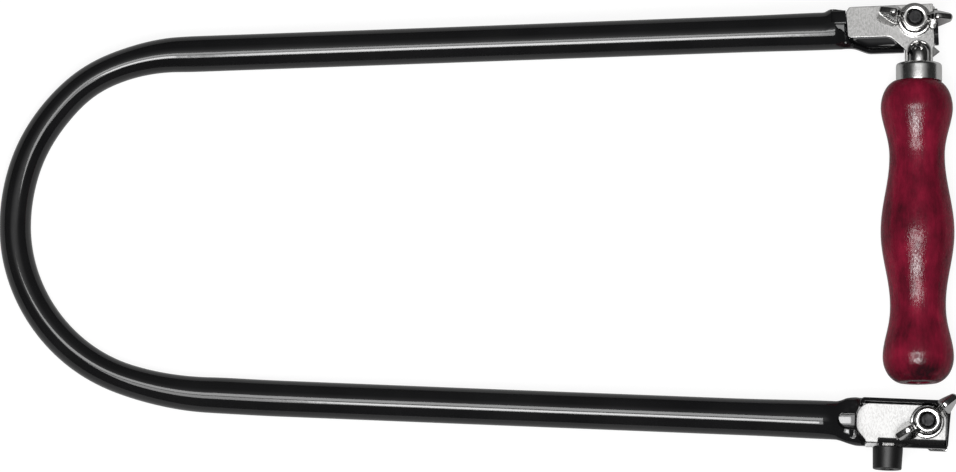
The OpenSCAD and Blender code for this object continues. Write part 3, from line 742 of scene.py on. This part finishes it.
def lower_tongue_height(s, y):
    return 1.5 - (y + 4.0) ** 2 / 34 - 0.0155 * (s - 33.5) ** 2


def build_frame():
    low_top, high_top = FLOOR_Z + BRACKET_T + 0.3, AXIS_Z + FLANGE_TOP
    parts = [
        frame_skin(),
        end_wall(upper_place, -5.2, -2.8, low_top, 0),
        end_wall(upper_place, -1.4, 1.0, low_top, 0),
        end_wall(lower_place, -7.4, 6.9, high_top, 0.05),
        mouth_lug(),
        tongue(upper_place, (31.3, 35.4), (-1.6, 3.4), upper_tongue_height),
        tongue(lower_place, (31.6, 38.4), (-2.9, 2.9), lower_tongue_height),
    ]
    whole = finish_edges(join("frame_tube_skin", parts), 0, sharp=75)
    dress(whole, "black_paint", "frame", "frame_tube")


build_frame()

# Handle bracket

NECK_LEFT = HANDLE_X + NECK_ASIDE - NECK_W / 2
NECK_RIGHT = HANDLE_X + NECK_ASIDE + NECK_W / 2
NECK_LOW = FERRULE_LOW + 1.0
SLEEVE_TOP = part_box("bracket_back_half")[1].y / MM
CREST_R, FOOT_R = 3.8, 4.25


def leg_outline():
    """The front stamping: its leg along the upper channel, its shoulder and its neck."""
    low, high = UPPER_SHIFT - LEG_W / 2, UPPER_SHIFT + LEG_W / 2
    start, tip = 30.4, -1.5
    shoulder = upper_place(-11.75, low - 4.4)
    pts = [upper_place(-start, low), upper_place(-16.2, low), shoulder, (NECK_LEFT, shoulder[1] - 0.6)]
    pts += [(NECK_LEFT, NECK_LOW), (NECK_RIGHT, NECK_LOW), (NECK_RIGHT, upper_place(tip, low - 4.6)[1])]
    pts += [upper_place(tip, low - 4.0), upper_place(tip, high + 0.2)]
    pts += [upper_place(-start + 0.9, high), upper_place(-start - 0.3, high - 1.7)]
    return rounded_loop(pts, [1.0, 1.5, 0.8, 0.6, 0, 0, 0.8, 0.6, 0.5, 0.6, 0.6], 4)


def dome_rings():
    """Distances from the rod's line with their heights: a round crest, then a fillet to the plate."""
    rings = [(0.0, CREST_R)]
    for k in range(1, 13):
        d = CREST_R * 0.97 * math.sin(math.pi / 2 * k / 12)
        z = math.sqrt(max(CREST_R ** 2 - d ** 2, 0))
        if z < BRACKET_T + 0.55:
            break
        rings.append((d, z))
    d0, z0 = rings[-1]
    for k in range(1, 7):
        t = k / 6
        d = (1 - t) ** 2 * d0 + 2 * t * (1 - t) * (d0 + 0.22) + t * t * FOOT_R
        z = (1 - t) ** 2 * z0 + 2 * t * (1 - t) * (BRACKET_T + 0.02) + t * t * (BRACKET_T + 0.006)
        rings.append((d, z))
    return rings


def build_dome(name, side):
    """The sleeve embossed in the neck, as rings of equal distance from the rod's line."""
    rings = dome_rings()
    straight, turn = 8, 24
    count = 2 * straight + turn + 1
    top = SLEEVE_TOP - CREST_R
    run = top - NECK_LOW
    verts = []
    for d, z in rings:
        for k in range(count):
            if k < straight:
                x, y = -d, NECK_LOW + run * k / straight
            elif k <= straight + turn:
                a = math.pi - math.pi * (k - straight) / turn
                x, y = d * math.cos(a), top + d * math.sin(a)
            else:
                x, y = d, top - run * (k - straight - turn) / straight
            droop = 0.16 * max(0.0, y - top + 0.6) + 0.045 * max(0.0, top - 0.6 - y)
            droop *= max(0.0, z - BRACKET_T) / (CREST_R - BRACKET_T)
            verts.append((HANDLE_X + NECK_ASIDE + x, y, HANDLE_Z + side * (z - droop)))
    crest = oriented(name, verts, grid_faces(len(rings), count), side)
    for face in crest.data.polygons:
        face.use_smooth = True
    return crest


def back_outline():
    top = SLEEVE_TOP - 1.9
    corners = [(NECK_LEFT, NECK_LOW), (NECK_RIGHT, NECK_LOW), (NECK_RIGHT, top), (NECK_LEFT, top)]
    return rounded_loop(corners, [0, 0, 0.8, 0.8], 4)


def ear_solid():
    """The back stamping's point, bent down a little towards its tip."""
    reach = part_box("bracket_back_half")[1].x / MM + 0.3 - NECK_RIGHT
    middle, half, root = SLEEVE_TOP - 3.2, 0.8 * reach, -0.6
    outline = [(root, -half), (0.0, -half), (reach, 0.0), (0.0, half), (root, half)]
    verts, faces = plate([(NECK_RIGHT + x, middle + y) for x, y in outline], FLOOR_Z - 1.5, FLOOR_Z - 0.05)
    return [(x, y, z - 0.22 * (x - NECK_RIGHT - root)) for x, y, z in verts], faces


def build_bracket():
    leg = new_piece("bracket_plate", *plate(leg_outline(), FLOOR_Z, FLOOR_Z + BRACKET_T))
    front = join("bracket_front", [finish_edges(leg, 0.3, 3), build_dome("bracket_dome", 1)])
    dress(front, "nickel_plate", "frame", "handle_bracket")
    neck = new_piece("bracket_back_plate", *plate(back_outline(), FLOOR_Z - BRACKET_T, FLOOR_Z))
    parts = [finish_edges(neck, 0.25, 3), finish_edges(new_piece("ear", *ear_solid()), 0.2, 2),
             build_dome("bracket_back_dome", -1)]
    dress(join("bracket_back", parts), "nickel_plate", "frame", "bracket_back_half")


build_bracket()

# Clamp hardware


def stand(centre, base):
    return lambda x, y, h: (centre[0] + x, centre[1] + y, base + h)


def build_washer(name, centre, seat, node):
    profile = [(2.8, -1.0), (5.45, -1.0), (5.7, -0.75), (5.7, -0.2), (5.5, 0.0), (2.8, 0.0)]
    verts, faces = turned_ring(rounded(profile, {2: 0.2, 3: 0.2, 4: 0.2}, 3), stand(centre, seat), 72)
    dress(finish_edges(new_piece(name, verts, faces), 0, sharp=50), "nickel_plate", "frame", node)


build_washer("upper_washer_disc", UPPER_BOLT, UPPER_SEAT, "upper_washer")
build_washer("lower_washer_disc", LOWER_BOLT, LOWER_SEAT, "lower_washer")

# The wing's lower and upper edge: distance from the bolt's axis, height above the seat
WING_LOW = [(3.0, 1.3), (5.6, 1.5), (6.5, 2.2), (8.0, 3.4), (9.5, 4.6), (11.0, 5.8), (12.0, 6.5),
            (12.38, 7.0)]
WING_HIGH = [(3.0, 5.7), (4.1, 5.9), (4.8, 6.6), (5.4, 8.0), (6.1, 9.5), (6.8, 10.1), (7.5, 10.2),
             (8.5, 9.95), (10.0, 9.35), (11.3, 8.75), (12.0, 8.3), (12.38, 7.6)]
WING_ROOT, WING_END, WING_CLOSE = 3.0, 12.38, 11.5
WING_DRAFT, WING_RIM = 0.275, 0.95


def wing_mesh(centre, seat, angle):
    """A forged wing: a thick rim, flat flanks that spread towards its foot and a blunt tip."""
    verts = []
    stations = 44
    for i in range(stations + 1):
        x = WING_ROOT + (WING_END - WING_ROOT) * (1 - (1 - i / stations) ** 1.6)
        low, high = np.interp(x, *zip(*WING_LOW)), np.interp(x, *zip(*WING_HIGH))
        closing = math.sqrt(max(0.0, 1 - ((x - WING_CLOSE) / 0.885) ** 2)) if x > WING_CLOSE else 1.0
        rim = WING_RIM * (0.08 + 0.92 * closing)
        foot = rim + WING_DRAFT * (high - low) * (0.1 + 0.9 * closing)
        section = rounded_loop([(-foot, low), (foot, low), (rim, high), (-rim, high)],
                               0.5 * (0.2 + 0.8 * closing), 5)
        for across, z in section:
            px, py = turned(angle, x, across)
            verts.append((centre[0] + px, centre[1] + py, seat + z))
    around = len(section)
    rows = stations + 1
    faces = grid_faces(rows, around, closed=True)
    faces.append(tuple(range(around)))
    faces.append(tuple(range((rows - 1) * around, rows * around)))
    return verts, faces


def build_wing_nut(name, centre, seat, angles, body, node):
    profile = [(2.62, 0.0), (5.25, 0.0), (5.5, 0.25), (5.5, 0.95), (5.35, 1.1), (4.75, 1.14), (4.5, 1.5),
               (4.1, 5.4), (4.02, 5.8), (3.8, 6.0), (2.78, 6.0), (2.62, 5.85)]
    corners = {2: 0.2, 3: 0.15, 4: 0.1, 5: 0.15, 6: 0.3, 7: 0.3, 8: 0.2, 9: 0.2}
    verts, faces = turned_ring(rounded(profile, corners, 3), stand(centre, seat), 80)
    hub = finish_edges(new_piece(name + "_hub", verts, faces), 0, sharp=60)
    wings = [finish_edges(new_piece(name + "_wing",
                                    *wing_mesh(centre, seat, math.radians(angle))), 0, sharp=60)
             for angle in angles]
    dress(join(name, [hub] + wings), "nickel_plate", body, node)


build_wing_nut("upper_nut_forging", UPPER_BOLT, UPPER_SEAT, (169.6, -2.0), "upper_nut", "upper_wing_nut")
build_wing_nut("lower_nut_forging", LOWER_BOLT, LOWER_SEAT, (-150.5, 40.0), "lower_nut", "lower_wing_nut")


def build_clamp_bolt(name, centre, body, node):
    """A domed head, a square neck and a plain shank with a blunt end."""
    head, top = (v.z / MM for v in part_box(node))
    neck = head + BOLT_HEAD_H
    crown = [(0.0, head)]
    for k in range(1, 11):
        a = math.pi / 2 * k / 10
        crown.append((BOLT_HEAD_R * math.sin(a), head + 1.8 * (1 - math.cos(a))))
    profile = crown + [(BOLT_HEAD_R, head + 2.25), (5.05, neck), (BOLT_R, neck), (BOLT_R, top - 0.55),
                       (2.42, top - 0.3), (2.1, top - 0.03), (1.9, top), (1.2, top - 0.05), (0.0, top - 0.1)]
    shank = finish_edges(new_piece(name, *lathe(profile, stand(centre, 0.0), 64)), 0, sharp=42)
    corners = ((-BOLT_R, -BOLT_R), (BOLT_R, -BOLT_R), (BOLT_R, BOLT_R), (-BOLT_R, BOLT_R))
    outline = [(centre[0] + x, centre[1] + y) for x, y in corners]
    square = finish_edges(new_piece(name + "_square", *plate(outline, neck, neck + SQUARE_NECK_L)), 0)
    dress(join(name, [shank, square]), "dark_steel", body, node)


build_clamp_bolt("upper_bolt_turned", UPPER_BOLT, "upper_jaw", "upper_clamp_bolt")
build_clamp_bolt("lower_bolt_turned", LOWER_BOLT, "lower_jaw", "lower_clamp_bolt")


def build_jaw(name, place, low, high, body, node):
    bottom, top = (v.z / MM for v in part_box(node))
    pts = [(-14.0, low + 1.2), (-12.8, low), (-3.2, low), (-0.8, low + 2.4), (-0.8, high),
           (-6.6, high), (-7.4, high - 0.9), (-14.0, high - 0.9)]
    outline = [tuple(place(x, y)) for x, y in rounded_loop(pts, [0.5, 0.5, 0.5, 0.5, 0.6, 0.4, 0.4, 0.9], 3)]
    dress(finish_edges(new_piece(name, *plate(outline, bottom, top)), 0.12, 2), "nickel_plate", body, node)


build_jaw("upper_jaw_plate", upper_place, -3.9, 8.4, "upper_jaw", "upper_rear_jaw")
build_jaw("lower_jaw_plate", lower_place, -8.4, 7.95, "lower_jaw", "lower_rear_jaw")


def build_lower_plate():
    """The lower clamp plate, with its lug in the flange's notch."""
    pts = [(-1.5, -6.9), (-1.5, 4.5), (-23.95, 4.5), (-23.95, 7.75), (-28.0, 7.75), (-28.0, 5.4),
           (-31.3, 1.9), (-31.3, -3.8), (-28.6, -6.9)]
    radii = [0.3, 0.4, 0.5, 0.4, 0.4, 0.8, 1.6, 1.8, 1.8]
    outline = [tuple(lower_place(x, y)) for x, y in rounded_loop(pts, radii, 5)]
    stamping = new_piece("lower_plate_stamping", *plate(outline, FLOOR_Z, FLOOR_Z + PLATE_T))
    dress(finish_edges(stamping, 0.3, 3), "nickel_plate", "frame", "lower_clamp_plate", finish="dull_plate")


build_lower_plate()

# Handle


def on_handle(x, y, h):
    return (HANDLE_X + GRIP_ASIDE + x, h, HANDLE_Z + y)


def on_ferrule(x, y, h):
    """The ferrule and the neck stand a hair off the grip's axis, as they do on the real saw."""
    return (HANDLE_X + NECK_ASIDE + x, h, HANDLE_Z + y)


def build_ferrule():
    top, low = FERRULE_TOP, FERRULE_LOW
    profile = [(5.2, top - 1.2), (5.2, top), (FERRULE_R, top), (FERRULE_R, low), (6.8, low)]
    verts, faces = lathe(rounded(profile, {1: 0.3, 2: 2.2, 3: 0.3}, 8), on_ferrule, 96, caps=False)
    piece = new_piece("ferrule_cap", verts, faces)
    return finish_edges(piece, 0, sharp=40)


dress(build_ferrule(), "polished_steel", "frame", "handle_ferrule")


def grip_profile():
    """The grip's turned outline, from the ferrule down to the recess in its end."""
    grip_l = FERRULE_LOW - GRIP_LOW
    top_r, upper_waist, middle, lower_waist, bottom, end = 12.05, 9.25, 12.3, 9.3, 11.85, 6.7
    root, foot = top_r * 0.486, bottom * 0.42
    shares = (0.089, 0.248, 0.501, 0.744, 0.916)
    start_angle = math.acos((FERRULE_R - root) / (top_r - root))
    end_angle = math.acos((end - foot) / (bottom - foot))
    pts = []
    for i in range(15):
        a = start_angle * (1 - i / 14)
        pts.append((root + (top_r - root) * math.cos(a),
                    shares[0] * (1 - math.sin(a) / math.sin(start_angle))))
    spans = [(top_r, upper_waist, 0.88), (upper_waist, middle, 1.0),
             (middle, lower_waist, 1.0), (lower_waist, bottom, 1.15)]
    for (r0, r1, lean), s0, s1 in zip(spans, shares, shares[1:]):
        for i in range(1, 25):
            t = i / 24
            pts.append((r0 + (r1 - r0) * (1 - math.cos(math.pi * t ** lean)) / 2, s0 + (s1 - s0) * t))
    for i in range(1, 15):
        a = end_angle * i / 14
        pts.append((foot + (bottom - foot) * math.cos(a),
                    shares[4] + (1 - shares[4]) * math.sin(a) / math.sin(end_angle)))
    body = [(r, FERRULE_LOW - grip_l * s) for r, s in pts]
    recess = [(3.95, GRIP_LOW), (3.75, GRIP_LOW + 0.25), (3.75, GRIP_LOW + 2.9),
              (2.66, GRIP_LOW + 3.0), (2.66, GRIP_LOW + 4.0)]
    return [(6.9, FERRULE_LOW)] + body + recess


def build_grip():
    grip = new_piece("turned_grip", *lathe(grip_profile(), on_handle, 112, caps=False))
    dress(finish_edges(grip, 0, sharp=50), "stained_wood", "frame", "handle_grip")


build_grip()

# Bench stop

STOP_Z = centre_mm("bench_stop").z


def on_stop(x, y, h):
    """Places a point by its distances from the stop's axis and its height off the arm."""
    p = lower_place(-STOP_SETBACK + x, STOP_SEAT + h)
    return (p[0], p[1], STOP_Z + y)


def build_stop():
    profile = [(0.0, 0.02), (5.05, 0.02), (4.78, STOP_L), (2.3, STOP_L), (2.3, STOP_RECESS),
               (0.0, STOP_RECESS)]
    verts, faces = lathe(rounded(profile, {1: 0.3, 2: 0.4, 3: 0.3}, 5), on_stop, 72, caps=False)
    moulding = finish_edges(new_piece("stop_moulding", verts, faces), 0, sharp=50)
    dress(moulding, "black_rubber", "frame", "bench_stop")


def build_rivet():
    """The stop's rivet: a square head inside the flange, a shank, and a round head in the recess."""
    name, head_r, inner_face = "stop_rivet", 2.15, -TUBE_WALL
    corners = ((-2.0, -2.0), (2.0, -2.0), (2.0, 2.0), (-2.0, 2.0))
    square = [on_stop(x, y + 0.42 + 0.06 * h, inner_face + h) for h in (0.95, -0.15) for x, y in corners]
    faces = [(0, 1, 2, 3), (7, 6, 5, 4)] + [(i, (i + 1) % 4, 4 + (i + 1) % 4, 4 + i) for i in range(4)]
    crown = [(head_r, 0.0), (head_r, 0.35)]
    for k in range(1, 7):
        a = math.pi / 2 * k / 6
        crown.append((head_r * math.cos(a), 0.35 + 0.55 * math.sin(a)))
    head = [(r, STOP_RECESS + h) for r, h in crown]
    shank = [(1.2, inner_face), (1.2, STOP_RECESS)]
    parts = [finish_edges(new_piece(name, square, faces), 0.2, 3),
             finish_edges(new_piece(name, *lathe(head, on_stop, 40)), 0, sharp=50),
             finish_edges(new_piece(name, *lathe(shank, on_stop, 24)), 0, sharp=50)]
    dress(join(name, parts), "nickel_plate", "frame", "bench_stop_rivet")


build_stop()
build_rivet()

# These three show their CAD solids, with a finish
for node in ("sleeve_pin", "handle_rod", "handle_end_nut"):
    NODES[node].data.materials.clear()
    NODES[node].data.materials.append(MATERIALS["dark_steel"])

# Studio


def floor_material():
    """The camera sees white with a faint shadow, reflections see it dimmer, and the bounce stays plain."""
    m = bpy.data.materials.new("studio_white")
    m.use_nodes = True
    tree = m.node_tree
    tree.nodes.clear()
    out = tree.nodes.new("ShaderNodeOutputMaterial")
    diffuse = tree.nodes.new("ShaderNodeBsdfDiffuse")
    glow = tree.nodes.new("ShaderNodeEmission")
    path = tree.nodes.new("ShaderNodeLightPath")
    tone = math_node(tree, "MULTIPLY_ADD", path.outputs["Is Camera Ray"], -0.60, 0.80)
    tone = math_node(tree, "ADD", tone, math_node(tree, "MULTIPLY", path.outputs["Is Glossy Ray"], -0.45))
    tree.links.new(tone, diffuse.inputs["Color"])
    shine = math_node(tree, "ADD", math_node(tree, "MULTIPLY", path.outputs["Is Camera Ray"], 0.86),
                      math_node(tree, "MULTIPLY", path.outputs["Is Glossy Ray"], 0.12))
    shine = math_node(tree, "ADD", shine,
                      math_node(tree, "MULTIPLY", path.outputs["Is Transmission Ray"], 0.78))
    tree.links.new(shine, glow.inputs["Strength"])
    add = tree.nodes.new("ShaderNodeAddShader")
    tree.links.new(diffuse.outputs[0], add.inputs[0])
    tree.links.new(glow.outputs[0], add.inputs[1])
    tree.links.new(add.outputs[0], out.inputs["Surface"])
    return m


def build_floor():
    """The saw lies on its grip and on the back of its bend, so the surface leans a little to its plane."""
    size, gap = 6.0, 0.0002
    grip_x, bend_x = HANDLE_X * MM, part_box("frame_tube")[0].x
    slope = (BEND_UPRIGHT_R * MM - AXIS_Z * MM) / (grip_x - bend_x)
    corners = [(x, y, (x - grip_x) * slope - gap)
               for x, y in ((-size, -size), (size, -size), (size, size), (-size, size))]
    mesh = bpy.data.meshes.new("studio_floor")
    mesh.from_pydata(corners, [], [(0, 1, 2, 3)])
    mesh.materials.append(floor_material())
    floor = bpy.data.objects.new("studio_floor", mesh)
    bpy.context.scene.collection.objects.link(floor)


def build_world():
    """White to the camera; reflections see a ceiling's glow, strongest just behind the lamps."""
    world = bpy.data.worlds.new("studio")
    bpy.context.scene.world = world
    world.use_nodes = True
    tree = world.node_tree
    tree.nodes.clear()
    out = tree.nodes.new("ShaderNodeOutputWorld")
    back = tree.nodes.new("ShaderNodeBackground")
    path = tree.nodes.new("ShaderNodeLightPath")
    coords = tree.nodes.new("ShaderNodeTexCoord")
    split = tree.nodes.new("ShaderNodeSeparateXYZ")
    tree.links.new(coords.outputs["Generated"], split.inputs[0])
    height = math_node(tree, "MAXIMUM", split.outputs["Z"], 0.02)
    behind = math_node(tree, "DIVIDE", split.outputs["Y"], height)
    aside = math_node(tree, "DIVIDE", split.outputs["X"], height)
    lean = tree.nodes.new("ShaderNodeMapRange")
    lean.inputs["From Min"].default_value = -0.2
    lean.inputs["From Max"].default_value = 0.8
    tree.links.new(behind, lean.inputs["Value"])
    fade = ramp(tree, lean.outputs["Result"],
                [(0.0, 0.0), (0.24, 0.9), (0.33, 0.9), (0.37, 0.54),
                 (0.40, 0.42), (0.47, 0.26), (0.6, 0.12), (0.95, 0.02)])
    across = math_node(tree, "POWER", 0.5,
                       math_node(tree, "MULTIPLY", math_node(tree, "MULTIPLY", aside, aside), 4.5))
    ceiling = math_node(tree, "MULTIPLY", math_node(tree, "MULTIPLY", fade.outputs["Color"], across), 1.3)
    seen = math_node(tree, "MULTIPLY", math_node(tree, "ADD", ceiling, 0.035), path.outputs["Is Glossy Ray"])
    plain = math_node(tree, "MAXIMUM", path.outputs["Is Camera Ray"], path.outputs["Is Transmission Ray"])
    spread = math_node(tree, "MULTIPLY", path.outputs["Is Diffuse Ray"], 0.2)
    total = math_node(tree, "ADD", math_node(tree, "ADD", plain, spread), seen)
    tree.links.new(total, back.inputs["Strength"])
    tree.links.new(back.outputs[0], out.inputs["Surface"])


def softbox(name, x0, x1, y0, y1, height, radiance):
    """A lamp above the saw, over a rectangle in X and Y and with the same radiance all over."""
    lamp = bpy.data.lights.new(name, "AREA")
    lamp.shape = "RECTANGLE"
    lamp.size, lamp.size_y = x1 - x0, y1 - y0
    lamp.energy = radiance * math.pi * lamp.size * lamp.size_y
    holder = bpy.data.objects.new(name, lamp)
    holder.location = ((x0 + x1) / 2, (y0 + y1) / 2, height)
    bpy.context.scene.collection.objects.link(holder)


def build_camera():
    """Nearly overhead; a millimetre of the saw takes 3.005 of the picture's 956 pixels."""
    distance, tilt, aside = 2.5, math.radians(8.0), 0.016
    target = Vector((-0.0001, -0.0006, AXIS_Z * MM))
    camera = bpy.data.cameras.new("camera")
    camera.sensor_width = 36.0
    camera.lens = 36.0 * distance / (956 / 3.005 * MM)
    camera.clip_start, camera.clip_end = 0.1, 20.0
    back = Vector((aside, -math.sin(tilt), math.cos(tilt))).normalized()
    right = (Vector((1, 0, 0)) - back * back.x).normalized()
    up = back.cross(right)
    holder = bpy.data.objects.new("camera", camera)
    holder.matrix_world = Matrix((
        (right.x, up.x, back.x, target.x + back.x * distance),
        (right.y, up.y, back.y, target.y + back.y * distance),
        (right.z, up.z, back.z, target.z + back.z * distance), (0, 0, 0, 1)))
    bpy.context.scene.collection.objects.link(holder)
    bpy.context.scene.camera = holder


build_floor()
build_world()
softbox("softbox_near", -0.42, 0.40, -0.14, 0.09, 1.13, 6.5)
softbox("softbox_far", -0.42, 0.40, -0.66, -0.19, 1.13, 5.5)
softbox("softbox_heart", -0.12, 0.16, -0.56, -0.27, 1.12, 13.0)
build_camera()
bpy.context.scene.view_settings.view_transform = "Standard"
